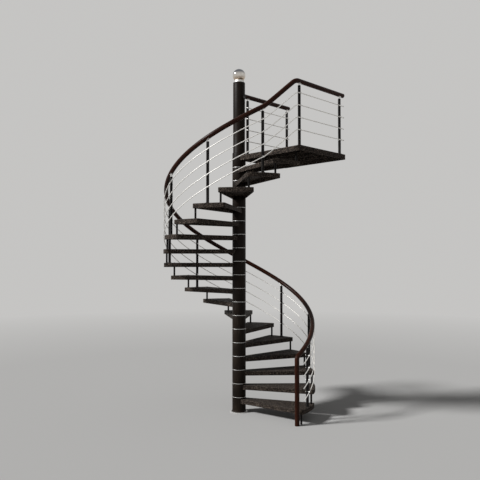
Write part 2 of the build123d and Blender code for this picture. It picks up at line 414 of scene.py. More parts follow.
# Landing: a square tray of the same folded sheet at the last rise, notched round the column, with
# three flat bars welded across its underside. It has the same speckled coat as the treads.
landing_low = (0.060, -0.060)
landing_high = (1.220, 1.000)
landing_skirt = 0.076
landing_corner = 0.005
landing_top = rise * (tread_count + 1)
landing_notch = (landing_top - 0.2, landing_top + 0.1)
corner_parts = 4
bar_count = 3
bar_thick = 0.006
bar_edge = 0.001
stitch_count = 7
stitch_length = 0.040
stitch_radius = 0.0030
stitch_sunk = 0.0012


def square_outline(low, high, corner, inset=0.0):
    curve = max(corner - inset, 0.0006)  # the corner stays round however far the ring moves in
    back = inset + curve
    centres = [(high[0] - back, low[1] + back, -90), (high[0] - back, high[1] - back, 0)]
    centres += [(low[0] + back, high[1] - back, 90), (low[0] + back, low[1] + back, 180)]
    outline = []
    for x, y, start in centres:
        for i in range(corner_parts + 1):
            turn = math.radians(start + 90 * i / corner_parts)
            outline.append(Vector((x + curve * math.cos(turn), y + curve * math.sin(turn))))
    return outline


def ring_around(bm, spot, side, across, size, sides):
    ring = []
    for i in range(sides):
        turn = 2 * math.pi * i / sides
        ring.append(bm.verts.new(spot + (side * math.cos(turn) + across * math.sin(turn)) * size))
    return ring


def rippled(radius, travelled, pace):
    return radius * (0.86 + 0.14 * math.cos(travelled / radius * pace))


def weld_line(bm, start, end, radius, sides=8):
    run = end - start
    side = run.normalized().orthogonal().normalized()
    across = run.normalized().cross(side)
    count = max(6, int(run.length / (radius * 0.45)))
    rows = []
    for i in range(count + 1):
        share = i / count
        taper = min(1.0, 0.35 + 6 * min(share, 1 - share))
        size = rippled(radius, share * run.length, 3.3) * taper
        rows.append(ring_around(bm, start + run * share, side, across, size, sides))
    join_rows(bm, rows)


deck = folded_tray(
    lambda inset: square_outline(landing_low, landing_high, landing_corner, inset),
    landing_skirt,
    landing_top,
)
deck = notched(deck, *landing_notch)
finished(deck, "landing_deck", grit, ["landing_tray"])

bars_low, bars_high = (Vector(corner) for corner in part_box("landing_ribs"))
bars = bmesh.new()
for i in range(bar_count):
    share = i / (bar_count - 1)
    y = bars_low.y + bar_thick / 2 + (bars_high.y - bars_low.y - bar_thick) * share
    middle = (bars_low.z + bars_high.z) / 2
    plan = square_outline(
        (-bar_thick / 2, bars_low.z - middle), (bar_thick / 2, bars_high.z - middle), bar_edge
    )
    rows = []
    for x in (bars_low.x, bars_high.x):
        rows.append([bars.verts.new((x, y + p.x, middle + p.y)) for p in plan])
    join_rows(bars, rows)
    for j in range(stitch_count):
        x = bars_low.x + (bars_high.x - bars_low.x) * (j + 0.5) / stitch_count
        for side in (-1, 1):
            beside = y + side * bar_thick / 2
            start = Vector((x - stitch_length / 2, beside, bars_high.z - stitch_sunk))
            weld_line(bars, start, start + Vector((stitch_length, 0, 0)), stitch_radius)
finished(bars, "landing_cross_bars", grit, ["landing_ribs"])

# Welds: each tread sits on a hub and is welded to it along the top and down both sides. The bead
# is left as welded, with its ripples, and coated with the tread.
bead_radius = 0.0026
bead_out = 0.0004
bead_foot = 0.004
bead_steps = 60
bead_side_steps = 9


def hub_contact_angle():
    half = math.radians(tread_sweep / 2)
    side = tread_radius * math.sin(half) - tread_hub_half
    slope = side / (tread_radius * math.cos(half) - root_x)
    offset = tread_hub_half - slope * root_x
    a = 1 + slope * slope
    x = (-slope * offset + math.sqrt(a * hub_radius ** 2 - offset ** 2)) / a
    return math.atan2(slope * x + offset, x)


def stations(path):
    side = None
    travelled = 0.0
    for i, point in enumerate(path):
        before = path[max(i - 1, 0)]
        ahead = (path[min(i + 1, len(path) - 1)] - before).normalized()
        side = ahead.orthogonal() if side is None else side
        side = (side - ahead * side.dot(ahead)).normalized()
        travelled += (point - before).length
        yield point, side, ahead.cross(side), travelled


def bead_along(bm, path, radius, sides=8):
    rows = []
    for point, side, across, travelled in stations(path):
        size = rippled(radius, travelled, 2.9)
        rows.append(ring_around(bm, point, side, across, size, sides))
    join_rows(bm, rows)


beads = bmesh.new()
contact = hub_contact_angle()
reach = hub_radius + bead_out
for k in range(1, tread_count + 1):
    middle = math.radians(front_edge(k) + tread_sweep / 2)
    depth = tread_skirt - bead_foot
    path = []
    for i in range(bead_side_steps + 1):
        path.append((-contact, -depth + depth * i / bead_side_steps))
    for i in range(1, 2 * bead_steps):
        path.append((contact * (i / bead_steps - 1), 0.0))
    for i in range(bead_side_steps + 1):
        path.append((contact, -depth * i / bead_side_steps))
    points = []
    for turn, height in path:
        turn += middle
        points.append(Vector((reach * math.cos(turn), reach * math.sin(turn), rise * k + height)))
    bead_along(beads, points, bead_radius)
finished(beads, "tread_welds", grit)

# Column: nineteen steel hubs one rise high, stacked on each other, the lowest flared over the
# floor plate. They are tube, Ø200, with the ends eased, in a satin dark brown powder coat.
ring_above = 0.022
ring_thick = 0.005
plate_thick = 0.010
hub_stand = 0.040
end_ease = 0.0016
brown_dark = (0.0075, 0.0050, 0.0036, 1.0)
brown_mid = (0.0165, 0.0110, 0.0074, 1.0)
brown_dust = (0.080, 0.066, 0.054, 1.0)
brown_scuff = (0.060, 0.046, 0.038, 1.0)
satin_gloss = 0.09
cloud_grain = 0.22
streak_grain = 0.016
scuff_grain = 0.007
peel_grain = 0.0045
peel_depth = 0.00016
wave_depth = 0.0012
hub_sides = 96


def satin_finish(name, colours, smooth_blur, rough_blur):
    dark, mid, scuff, dust = colours
    finish, tree, shader = new_finish(name)
    where = place_on(tree)
    cloud = grains(tree, where, cloud_grain, 5.0, 0.6)
    colour = blend(tree, levels(tree, cloud, 0.34, 0.66), dark, mid)
    upright = stretched(tree, where, (1.0, 1.0, 0.12))
    streaks = levels(tree, grains(tree, upright, streak_grain, 4.0, 0.6), 0.55, 0.78)
    colour = tinted(tree, colour, dust, streaks, 0.22)
    scuffs = levels(tree, grains(tree, where, scuff_grain, 3.0, 0.75), 0.665, 0.74)
    colour = tinted(tree, colour, scuff, scuffs, 0.6)
    colour = tinted(tree, colour, dust, levels(tree, facing_up(tree), 0.5, 0.95), 0.4)
    hazy = grains(tree, where, 0.05, 4.0, 0.65)
    blur = levels(tree, hazy, 0.3, 0.7, smooth_blur, rough_blur)
    peel = relief(tree, grains(tree, where, peel_grain, 2.0, 0.5), peel_depth)
    feed(tree, shader, Base_Color=colour, Roughness=blur, Specular_IOR_Level=satin_gloss)
    feed(tree, shader, Normal=relief(tree, cloud, wave_depth, peel))
    return finish


def ring_base(k):
    return rise * k + ring_above


def eased_drum(radius, low, high, ease, waist=()):
    bevel = ((ease, 0.0), (ease * 0.3, ease * 0.3), (0.0, ease))
    profile = [(radius - back, low + step) for back, step in bevel]
    profile += [(radius, height) for height in waist]
    return profile + [(radius - back, high - step) for back, step in reversed(bevel)]


browns = (brown_dark, brown_mid, brown_scuff, brown_dust)
column_coat = satin_finish("column_satin_coat", browns, 0.42, 0.54)
hubs = bmesh.new()
flare = [(0.0955, plate_thick), (0.1103, plate_thick), (0.1110, 0.0107), (0.1110, 0.0132)]
flare += [(0.1102, 0.0143), (0.1076, 0.0156), (0.1050, 0.0180), (0.1030, 0.0215), (0.1012, 0.0262)]
flare += [(0.1002, 0.0300), (hub_radius, 0.0320)]
flare += [(hub_radius, ring_base(1) - end_ease), (hub_radius - end_ease, ring_base(1))]
turned(hubs, flare, sides=hub_sides)
hub_ends = [(ring_base(k - 1) + ring_thick, ring_base(k)) for k in range(2, tread_count + 1)]
hub_ends.append((ring_base(tread_count) + ring_thick, landing_top + hub_stand))
for low, high in hub_ends:
    profile = eased_drum(hub_radius, low, high, end_ease, [(low + high) / 2])
    turned(hubs, profile, sides=hub_sides)
finished(hubs, "column_hubs", column_coat, ["column_hub_tubes"])

# Upper column: a thinner tube that rises through the landing to carry the ball, on a chamfered
# shoulder disc, with a welded lid. It has the same satin coat.
upper_radius = 0.090
upper_top = 1.112
shoulder_edge = 0.0025
shoulder_weld = 0.0035
lid_edge = 0.0020

shoulder_low = landing_top + hub_stand
shoulder_high = shoulder_low + ring_thick
column_top = landing_top + upper_top
upper = bmesh.new()
profile = [(hub_radius - 0.001, shoulder_low), (hub_radius, shoulder_low + 0.0006)]
profile += [(hub_radius, shoulder_high - shoulder_edge)]
profile += [(hub_radius - shoulder_edge, shoulder_high)]
profile += [(upper_radius + shoulder_weld, shoulder_high)]
profile += [(upper_radius + 0.0012, shoulder_low + 0.0062)]
profile += [(upper_radius, shoulder_low + 0.0085), (upper_radius, (shoulder_low + column_top) / 2)]
profile += eased_drum(upper_radius, shoulder_low, column_top, lid_edge)[3:]
turned(upper, profile, sides=hub_sides)
finished(upper, "column_upper", column_coat, ["column_upper_tube"])

# Bright discs: a turned stainless disc closes every joint between two hubs and stands 3 mm proud,
# its rim rounded. On the column's lid a short stainless collar carries a polished ball.
ring_radius = 0.103
rim_ease = 0.0009
rim_inside = 0.004
collar_radius = 0.075
collar_height = 0.036
ball_radius = 0.097
ball_sink = 0.018
ball_steps = 64
ball_sides = 112
ball_reach = 89.2
seam_depth = 0.00035
seam_spread = 0.012
lathe_grain = 0.0007
lathe_depth = 0.00006
scratch_grain = 0.004
scratch_depth = 0.00001
steel_light = (0.88, 0.87, 0.845, 1.0)
steel_dull = (0.66, 0.655, 0.645, 1.0)
steel_warm = (0.72, 0.66, 0.57, 1.0)
ball_light = (0.84, 0.81, 0.76, 1.0)
ball_dull = (0.62, 0.59, 0.55, 1.0)
# painted reflection: dark bluish colour for the ball's top, standing in for a dark sky mirrored
# there
ball_top_painted_sky_reflection = (0.190, 0.200, 0.225, 1.0)
# painted reflection: warm tan colour for the ball's bottom, standing in for warm ground mirrored
# there
ball_bottom_painted_ground_reflection = (0.60, 0.46, 0.33, 1.0)


def turned_steel_finish():
    finish, tree, shader = new_finish("turned_stainless")
    where = place_on(tree)
    split = put(tree, "ShaderNodeSeparateXYZ", Vector=where)
    flat = put(tree, "ShaderNodeCombineXYZ", X=split.outputs["X"], Y=split.outputs["Y"])
    off_axis = put(tree, "ShaderNodeVectorMath", Vector=flat.outputs[0])
    off_axis.operation = "LENGTH"
    turns = put(tree, "ShaderNodeCombineXYZ", X=off_axis.outputs["Value"], Y=split.outputs["Z"])
    lines = grains(tree, turns.outputs[0], lathe_grain, 2.0)
    cloud = grains(tree, where, 0.05, 4.0, 0.6)
    colour = blend(tree, levels(tree, cloud, 0.36, 0.66), steel_dull, steel_light)
    tea = levels(tree, grains(tree, where, 0.03, 5.0, 0.7), 0.60, 0.75)
    colour = tinted(tree, colour, steel_warm, tea, 0.5)
    blur = levels(tree, cloud, 0.3, 0.7, 0.40, 0.54)
    feed(tree, shader, Base_Color=colour, Metallic=1.0, Roughness=blur)
    feed(tree, shader, Normal=relief(tree, lines, lathe_depth))
    return finish


def polished_finish():
    finish, tree, shader = new_finish("polished_ball")
    where = place_on(tree)
    smudge = grains(tree, where, 0.045, 5.0, 0.65)
    rubs = grains(tree, stretched(tree, where, (1.0, 7.0, 0.6)), scratch_grain, 3.0)
    colour = blend(tree, levels(tree, smudge, 0.40, 0.72), ball_light, ball_dull)
    # Painted reflection: the ball's colour turns dark and bluish towards its top, as if it mirrored
    # a dark sky.
    colour = blend(tree, levels(tree, facing_up(tree), 0.08, 0.52), colour, ball_top_painted_sky_reflection)
    # Painted reflection: the ball's colour turns warm tan towards its bottom, as if it mirrored
    # warm ground below.
    colour = blend(tree, levels(tree, facing_up(tree), -0.12, -0.60, 0.0, 0.8), colour, ball_bottom_painted_ground_reflection)
    blur = levels(tree, smudge, 0.42, 0.75, 0.04, 0.17)
    feed(tree, shader, Base_Color=colour, Metallic=1.0, Roughness=blur)
    feed(tree, shader, Normal=relief(tree, levels(tree, rubs, 0.62, 0.72), scratch_depth))
    return finish


turned_steel = turned_steel_finish()
discs = bmesh.new()
inside = hub_radius - rim_inside
for k in range(1, tread_count + 1):
    low = ring_base(k)
    high = low + ring_thick
    rim = eased_drum(ring_radius, low, high, rim_ease)
    turned(discs, [(inside, low)] + rim + [(inside, high)], sides=hub_sides)
low = column_top
high = column_top + collar_height
profile = [(collar_radius - 0.003, low), (collar_radius, low + 0.001)]
profile += [(collar_radius, low + 0.004), (collar_radius - 0.002, low + 0.006)]
profile += [(collar_radius - 0.002, high - 0.005)]
profile += [(collar_radius, high - 0.003), (collar_radius - 0.001, high)]
profile += [(collar_radius - 0.012, high)]
turned(discs, profile, sides=hub_sides)
finished(discs, "column_bright_discs", turned_steel, ["column_rings_and_ball"])

ball_z = column_top + collar_height - ball_sink + ball_radius
ball = bmesh.new()
profile = []
for i in range(ball_steps + 1):
    turn = math.radians(-ball_reach + 2 * ball_reach * i / ball_steps)
    seam = seam_depth * math.exp(-((turn / seam_spread) ** 2))
    profile.append((ball_radius * math.cos(turn) - seam, ball_z + ball_radius * math.sin(turn)))
turned(ball, profile, sides=ball_sides)
finished(ball, "column_ball", polished_finish(), ["column_rings_and_ball"])

# Foot plate: a round stainless plate on the floor under the column, with four holes for floor
# anchors inside the hollow foot. Its shape comes as it is from the frame; the steel is turned.
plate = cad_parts["foot_plate"]
for slot in plate.material_slots:
    slot.material = turned_steel

# Link posts: a short steel tube ties each tread to the next at its outer end, and the first stands
# on the floor. A bolt runs through each, with a domed head above and a nut and washer below, all
# in the near-black brown coat of the guard posts.
post_inset = 0.037
link_radius = 0.014
link_angle = 1.6
link_sides = 36
washer_radius = 0.0185
washer_thick = 0.002
head_radius = 0.0095
head_height = 0.0042
nut_radius = 0.0110
nut_height = 0.0085
bolt_radius = 0.0050
bolt_past = 0.005
bolt_ease = 0.001
bolt_sides = 20
head_sides = 24
dome_steps = 6
black_dark = (0.0042, 0.0035, 0.0033, 1.0)
black_mid = (0.0090, 0.0072, 0.0065, 1.0)
black_dust = (0.055, 0.048, 0.043, 1.0)
black_scuff = (0.042, 0.035, 0.031, 1.0)

post_circle = tread_radius - post_inset
blacks = (black_dark, black_mid, black_scuff, black_dust)
post_coat = satin_finish("post_satin_coat", blacks, 0.40, 0.55)


def polar(radius, angle, z=0.0):
    turn = math.radians(angle)
    return Vector((radius * math.cos(turn), radius * math.sin(turn), z))


def washer(bm, place, radius, thick):
    ease = thick * 0.3
    profile = [(radius - ease, 0.0), (radius, ease), (radius, thick - ease), (radius - ease, thick)]
    turned(bm, profile, place)


def domed_head(bm, place, radius, height):
    profile = [(radius, 0.0), (radius, height * 0.25)]
    for i in range(1, dome_steps):
        turn = math.radians(90 * i / dome_steps)
        profile.append((radius * math.cos(turn) * 0.98, height * (0.25 + 0.75 * math.sin(turn))))
    socket = radius * 0.36
    profile += [(socket, height * 0.97), (socket * 0.92, height * 0.35)]
    turned(bm, profile, place, head_sides)


def hex_nut(bm, place, radius, height):
    ease = height * 0.12
    inner = radius * 0.93
    profile = [(inner, 0.0), (radius, ease), (radius, height - ease), (inner, height)]
    turned(bm, profile, place, 6)


def bolt_end_below(bm, foot):
    down = Matrix.Translation(foot - Vector((0, 0, sheet))) @ Matrix.Rotation(math.pi, 4, "X")
    washer(bm, down, washer_radius, washer_thick)
    hex_nut(bm, down @ Matrix.Translation((0, 0, washer_thick)), nut_radius, nut_height)
    past = washer_thick + nut_height
    profile = [(bolt_radius, past), (bolt_radius, past + bolt_past - bolt_ease)]
    profile += [(bolt_radius - bolt_ease, past + bolt_past)]
    turned(bm, profile, down, bolt_sides)


links = bmesh.new()
for k in range(tread_count + 1):
    foot = polar(post_circle, front_edge(k + 1) + link_angle, rise * k)
    place = Matrix.Translation(foot)
    top = rise - sheet
    under = Matrix.Translation((0, 0, top - washer_thick))
    washer(links, place, washer_radius, washer_thick)
    washer(links, place @ under, washer_radius, washer_thick)
    heights = (washer_thick, top * 0.5, top - washer_thick)
    turned(links, [(link_radius, height) for height in heights], place, link_sides)
    domed_head(links, place @ Matrix.Translation((0, 0, rise)), head_radius, head_height)
    if k:
        bolt_end_below(links, foot)
link_nodes = ["link_posts_lower", "link_posts_middle", "link_posts_upper"]
finished(links, "tread_link_posts", post_coat, link_nodes)

# Guard posts: nine steel balusters stand on every second tread and four posts on the landing, two
# at each side. Each is a tube welded to a small round flange and bolted down, in the same coat.
# The frame carries five of the balusters; the four that stand between them are made here.
post_radius = 0.020
post_height = 0.820
flange_radius = 0.031
flange_thick = 0.005
flange_weld = 0.0035
flange_ease = 0.0008
post_top_ease = 0.0022
post_sides = 48
baluster_angle = 11.6
baluster_every = 4
corner_post_x = 1.180
inner_post_x = 0.130
outer_post_ys = (-0.020, 0.910)
inner_post_ys = (0.050, 0.953)

outer_feet = [Vector((corner_post_x, y, landing_top)) for y in outer_post_ys]
inner_feet = [Vector((inner_post_x, y, landing_top)) for y in inner_post_ys]
baluster_treads = range(1, tread_count + 1, baluster_every)
between_treads = range(1 + baluster_every // 2, tread_count + 1, baluster_every)
baluster_angles = [front_edge(k) + baluster_angle for k in baluster_treads]


def guard_post(bm, foot):
    profile = [(flange_radius, 0.0), (flange_radius, flange_thick - flange_ease)]
    profile += [(flange_radius - flange_ease, flange_thick)]
    profile += [(post_radius + flange_weld, flange_thick)]
    profile += [(post_radius + flange_weld * 0.4, flange_thick + flange_weld * 0.35)]
    profile += [(post_radius, flange_thick + flange_weld), (post_radius, post_height * 0.3)]
    profile += [(post_radius, post_height * 0.65), (post_radius, post_height - post_top_ease)]
    profile += [(post_radius - post_top_ease * 0.35, post_height - post_top_ease * 0.35)]
    profile += [(post_radius - post_top_ease, post_height)]
    turned(bm, profile, Matrix.Translation(foot), post_sides)
    bolt_end_below(bm, foot)


def baluster_foot(k):
    return polar(post_circle, front_edge(k) + baluster_angle, rise * k)


for name, treads, nodes in (
    ("balusters_on_treads", baluster_treads, ["balusters"]),
    ("balusters_between", between_treads, []),
):
    balusters = bmesh.new()
    for k in treads:
        guard_post(balusters, baluster_foot(k))
    finished(balusters, name, post_coat, nodes)

for name, feet in (("outer", outer_feet), ("inner", inner_feet)):
    posts = bmesh.new()
    for foot in feet:
        guard_post(posts, foot)
    finished(posts, f"landing_posts_{name}", post_coat, [f"landing_{name}_posts"])

# Handrails: a round hardwood rail, Ø64, in glued lengths with a fine groove at each joint, dark
# stained and varnished. The outer one rises from the floor as the newel, bends into the climb,
# turns at the landing's corner and runs level to the wall. A short one guards the inner side.
rail_radius = 0.032
rail_height = 0.880
rail_sides = 40
tube_smooth = 60.0
rail_bend = 0.080
bend_share = 0.62
bend_pull = 1.077
newel_angle = 1.6
run_pull = 0.45
elbow_arm = 0.056
wall_y = 1.000
end_disc = 0.003
inner_rail_start = -0.008
joint_every = 1.18
joint_groove = 0.0007
joint_half = 0.0013
foot_ease = 0.002
foot_flare = 0.6
fibre_stretch = 0.030
figure_grain = 0.011
streak_width = 0.0030
pore_grain = 0.0013
hand_grain = 0.11
wood_dark = (0.0070, 0.0020, 0.0012, 1.0)
wood_mid = (0.0240, 0.0062, 0.0026, 1.0)
wood_red = (0.1050, 0.0270, 0.0090, 1.0)
wood_pore = (0.0030, 0.0013, 0.0009, 1.0)
wood_worn = (0.130, 0.052, 0.024, 1.0)
wood_gloss = 0.07
varnish = 0.06
varnish_blur = 0.22


def wood_finish():
    finish, tree, shader = new_finish("varnished_hardwood")
    lay = carried(tree, "straight").outputs["Vector"]
    length = put(tree, "ShaderNodeSeparateXYZ", Vector=lay).outputs["X"]
    board = put(tree, "ShaderNodeTexWhiteNoise")
    board.noise_dimensions = "1D"
    board_number = calc(tree, "FLOOR", calc(tree, "DIVIDE", length, joint_every))
    wire(tree, board.inputs["W"], board_number)
    shift = put(tree, "ShaderNodeVectorMath", Vector=lay)
    wire(tree, shift.inputs[1], board.outputs["Color"])
    fibre = stretched(tree, shift.outputs[0], (fibre_stretch, 1.0, 1.0))
    figure = grains(tree, fibre, figure_grain, 4.0, 0.6)
    streaks = grains(tree, fibre, streak_width, 3.0, 0.6)
    pores = levels(tree, grains(tree, fibre, pore_grain, 2.0, 0.6), 0.60, 0.70)
    colour = blend(tree, levels(tree, figure, 0.32, 0.68), wood_dark, wood_mid)
    colour = tinted(tree, colour, wood_red, levels(tree, streaks, 0.45, 0.72), 0.75)
    tone = levels(tree, board.outputs["Value"], 0.0, 1.0, 0.0, 0.30)
    colour = blend(tree, tone, colour, wood_dark)
    colour = tinted(tree, colour, wood_pore, pores, 0.7)
    handled = levels(tree, grains(tree, lay, hand_grain, 4.0, 0.65), 0.56, 0.74)
    handled = calc(tree, "MULTIPLY", handled, levels(tree, facing_up(tree), 0.1, 0.9))
    colour = tinted(tree, colour, wood_worn, handled, 0.35)
    blur = levels(tree, grains(tree, lay, 0.06, 4.0, 0.6), 0.3, 0.7, 0.30, 0.44)
    raised = relief(tree, streaks, 0.00012, relief(tree, pores, 0.0001))
    feed(tree, shader, Base_Color=colour, Roughness=blur, Normal=raised)
    feed(tree, shader, Specular_IOR_Level=wood_gloss)
    feed(tree, shader, Coat_Weight=varnish, Coat_Roughness=varnish_blur)
    return finish


def on_slope(radius, angle, height):
    climb = (angle - first_angle - baluster_angle) / step_angle
    return polar(radius, angle, rise * (1 + climb) + height)


def slope_ahead(radius, angle):
    turn = math.radians(angle)
    steep = rise / (math.radians(step_angle) * radius)
    return Vector((-math.sin(turn), math.cos(turn), steep)).normalized()


def spiral(radius, low, high, height, step=1.0):
    count = max(2, round((high - low) / step))
    return [on_slope(radius, low + (high - low) * i / count, height) for i in range(count + 1)]


def eased(start, start_ahead, end, end_ahead, steps, pull=1.0, end_pull=None):
    reach = (end - start).length * pull
    end_reach = reach if end_pull is None else (end - start).length * end_pull
    points = []
    for i in range(steps + 1):
        s = i / steps
        point = start * (2 * s ** 3 - 3 * s ** 2 + 1) + end * (3 * s ** 2 - 2 * s ** 3)
        point += start_ahead * reach * (s ** 3 - 2 * s ** 2 + s)
        point += end_ahead * end_reach * (s ** 3 - s ** 2)
        points.append(point)
    return points


def rounded_corner(corner, ahead, after, arm, steps=14):
    start = corner - ahead * arm
    end = corner + after * arm
    points = []
    for i in range(steps + 1):
        s = i / steps
        points.append(start * (1 - s) ** 2 + corner * (2 * s * (1 - s)) + end * s ** 2)
    return points


def run_to_corner(radius, line_x, height):
    turn = math.radians(baluster_angles[-1])
    run = (radius * math.cos(turn) - line_x) / math.sin(turn)
    leave = on_slope(radius, baluster_angles[-1], height)
    corner = Vector((line_x, leave.y + run * math.cos(turn), landing_top + height))
    mean = (corner.z - leave.z) / run
    return leave, corner, Vector((-math.sin(turn), math.cos(turn), mean)).normalized()


def joined(*runs):
    path = [runs[0][0]]
    for run in runs:
        path += [point for point in run if (point - path[-1]).length > 1e-5]
    return path


def straight_run(start, end, step=0.02):
    count = max(2, math.ceil((end - start).length / step))
    return [start.lerp(end, i / count) for i in range(count + 1)]


def tube_along(bm, path, radius, sides, width=None):
    layers = bm.verts.layers.float_vector
    straight = layers.get("straight") or layers.new("straight")
    rows = []
    for point, side, across, travelled in stations(path):
        size = radius if width is None else width(travelled)
        row = ring_around(bm, point, side, across, size, sides)
        for i, vertex in enumerate(row):
            turn = 2 * math.pi * i / sides
            vertex[straight] = (travelled, radius * math.cos(turn), radius * math.sin(turn))
        rows.append(row)
    join_rows(bm, rows)


def with_joints(path):
    dense = [path[0]]
    travelled = 0.0
    for start, end in zip(path, path[1:]):
        span = (end - start).length
        stops = []
        for step in (-joint_half, -joint_half / 3, joint_half / 3, joint_half):
            joint = math.ceil((travelled - step) / joint_every) * joint_every + step
            share = (joint - travelled) / span
            if joint > joint_every / 2 and 0.0 < share < 1.0:
                stops.append(start.lerp(end, share))
        for point in stops + [end]:
            if (point - dense[-1]).length > 1e-6:
                dense.append(point)
        travelled += span
    return dense


def rail_width(travelled):
    away = abs((travelled / joint_every + 0.5) % 1.0 - 0.5) * joint_every
    groove = joint_groove if away < joint_half * 0.5 and travelled > joint_every / 2 else 0.0
    return rail_radius - groove - max(0.0, foot_ease - travelled) * foot_flare


wood = wood_finish()
wall_ahead = Vector((0, 1, 0))
up = Vector((0, 0, 1))
bend_angle = newel_angle + math.degrees(rail_bend / post_circle)
bend_top = on_slope(post_circle, bend_angle, rail_height)
bend_rise = rail_bend * (1 + rise / (math.radians(step_angle) * post_circle)) * bend_share
newel_foot = polar(post_circle, newel_angle)
newel_head = newel_foot + up * (bend_top.z - bend_rise)
leave, corner, corner_ahead = run_to_corner(post_circle, corner_post_x, rail_height)
leave_ahead = slope_ahead(post_circle, baluster_angles[-1])
elbow = rounded_corner(corner, corner_ahead, wall_ahead, elbow_arm)
outer_path = joined(
    [newel_foot, newel_foot + up * 0.001, newel_foot + up * 0.002],
    straight_run(newel_foot + up * 0.01, newel_head),
    eased(newel_head, up, bend_top, slope_ahead(post_circle, bend_angle), 16, bend_pull),
    spiral(post_circle, bend_angle, baluster_angles[-1], rail_height),
    eased(leave, leave_ahead, elbow[0], corner_ahead, 40, run_pull, 1.0),
    elbow,
    straight_run(elbow[-1], Vector((corner_post_x, wall_y - end_disc, corner.z))),
)
handrail = bmesh.new()
tube_along(handrail, with_joints(outer_path), rail_radius, rail_sides, rail_width)
outer_nodes = ["rail_newel", "rail_spiral", "rail_landing"]
finished(handrail, "handrail_outer", wood, outer_nodes, tube_smooth)

rail_z = landing_top + rail_height
inner_start = Vector((inner_post_x, inner_rail_start, rail_z))
inner_end = Vector((inner_post_x, wall_y - end_disc, rail_z))
short_rail = bmesh.new()
tube_along(short_rail, straight_run(inner_start, inner_end), rail_radius, rail_sides)
finished(short_rail, "handrail_inner", wood, ["rail_inner"], tube_smooth)

# End discs: a thin turned steel disc, coated dark like the posts, closes each cut rail end.
disc_ease = 0.0008
disc_inset = 0.0004
disc_sides = 48


def facing(spot, ahead, side=None):
    z = ahead.normalized()
    x = z.orthogonal() if side is None else (side - z * side.dot(z))
    x = x.normalized()
    y = z.cross(x)
    turn = Matrix((x, y, z)).transposed().to_4x4()
    return Matrix.Translation(spot) @ turn


rail_caps = bmesh.new()
outer_end = Vector((corner_post_x, wall_y - end_disc, rail_z))
for spot, ahead in ((outer_end, wall_ahead), (inner_end, wall_ahead), (inner_start, -wall_ahead)):
    rim = rail_radius - disc_inset
    profile = [(rim, 0.0), (rim, end_disc - disc_ease)]
    profile += [(rail_radius - disc_ease, end_disc - 0.0002), (rail_radius - 0.004, end_disc)]
    profile += [(0.004, end_disc), (0.0032, end_disc - 0.0006)]
    turned(rail_caps, profile, facing(spot, ahead), disc_sides)
finished(rail_caps, "handrail_end_discs", post_coat, ["rail_end_caps"])

# Rail brackets: on every post a short stainless pin with a base collar carries a curved saddle
# plate, which two domed screws hold against the underside of the rail.
pin_radius = 0.009
pin_collar = 0.0135
collar_thick = 0.005
saddle_half = 0.030
saddle_spread = 38.0
saddle_thick = 0.003
saddle_gap = 0.0002
saddle_lengths = 12
saddle_turns = 10
saddle_screw = 0.020
screw_radius = 0.0042
screw_height = 0.0022
fine_light = (0.88, 0.87, 0.85, 1.0)
fine_dull = (0.66, 0.655, 0.64, 1.0)
fine_grime = (0.17, 0.15, 0.13, 1.0)


def satin_steel_finish():
    finish, tree, shader = new_finish("satin_stainless")
    where = place_on(tree)
    cloud = grains(tree, where, 0.018, 4.0, 0.6)
    lines = grains(tree, stretched(tree, where, (1.0, 1.0, 0.08)), 0.0006, 2.0)
    colour = blend(tree, levels(tree, cloud, 0.35, 0.65), fine_dull, fine_light)
    grime = levels(tree, grains(tree, where, 0.009, 4.0, 0.7), 0.60, 0.76)
    colour = tinted(tree, colour, fine_grime, grime, 0.5)
    blur = levels(tree, cloud, 0.3, 0.7, 0.34, 0.50)
    feed(tree, shader, Base_Color=colour, Metallic=1.0, Roughness=blur)
    feed(tree, shader, Normal=relief(tree, lines, 0.00005))
    return finish


def saddle(bm, rail_at, along, across, down):
    rings = []
    for i in range(saddle_lengths + 1):
        share = 2 * i / saddle_lengths - 1
        narrow = max(0.35, (1 - abs(share) ** 5) ** 0.5)
        inner = []
        outer = []
        for j in range(saddle_turns + 1):
            turn = math.radians(saddle_spread * narrow * (2 * j / saddle_turns - 1))
            out = down * math.cos(turn) + across * math.sin(turn)
            spot = rail_at + along * (share * saddle_half)
            inner.append(bm.verts.new(spot + out * (rail_radius + saddle_gap)))
            outer.append(bm.verts.new(spot + out * (rail_radius + saddle_gap + saddle_thick)))
        rings.append(inner + list(reversed(outer)))
    join_rows(bm, rings)


def bracket(bm, foot, along):
    top = foot + up * post_height
    across = up.cross(along).normalized()
    down = -along.cross(across).normalized()
    rail_at = foot + up * rail_height
    reach = rail_height - post_height - (rail_radius + saddle_thick * 0.5) / -down.z
    profile = [(pin_collar, 0.0), (pin_collar, 0.0035), (pin_collar - 0.001, 0.0045)]
    profile += [(pin_radius + 0.0008, collar_thick), (pin_radius, collar_thick + 0.0008)]
    profile += [(pin_radius, reach * 0.6), (pin_radius, reach)]
    turned(bm, profile, Matrix.Translation(top))
    saddle(bm, rail_at, along, across, down)
    for side in (-1, 1):
        spot = rail_at + along * side * saddle_screw + down * (rail_radius + saddle_thick)
        domed_head(bm, facing(spot, down), screw_radius, screw_height)


satin_steel = satin_steel_finish()
brackets = bmesh.new()
brackets_between = bmesh.new()
for bm, treads in ((brackets, baluster_treads), (brackets_between, between_treads)):
    for k in treads:
        bracket(bm, baluster_foot(k), slope_ahead(post_circle, front_edge(k) + baluster_angle))
for foot in outer_feet + inner_feet:
    bracket(brackets, foot, wall_ahead)
finished(brackets, "rail_brackets", satin_steel, ["rail_pins"])
finished(brackets_between, "rail_brackets_between", satin_steel)

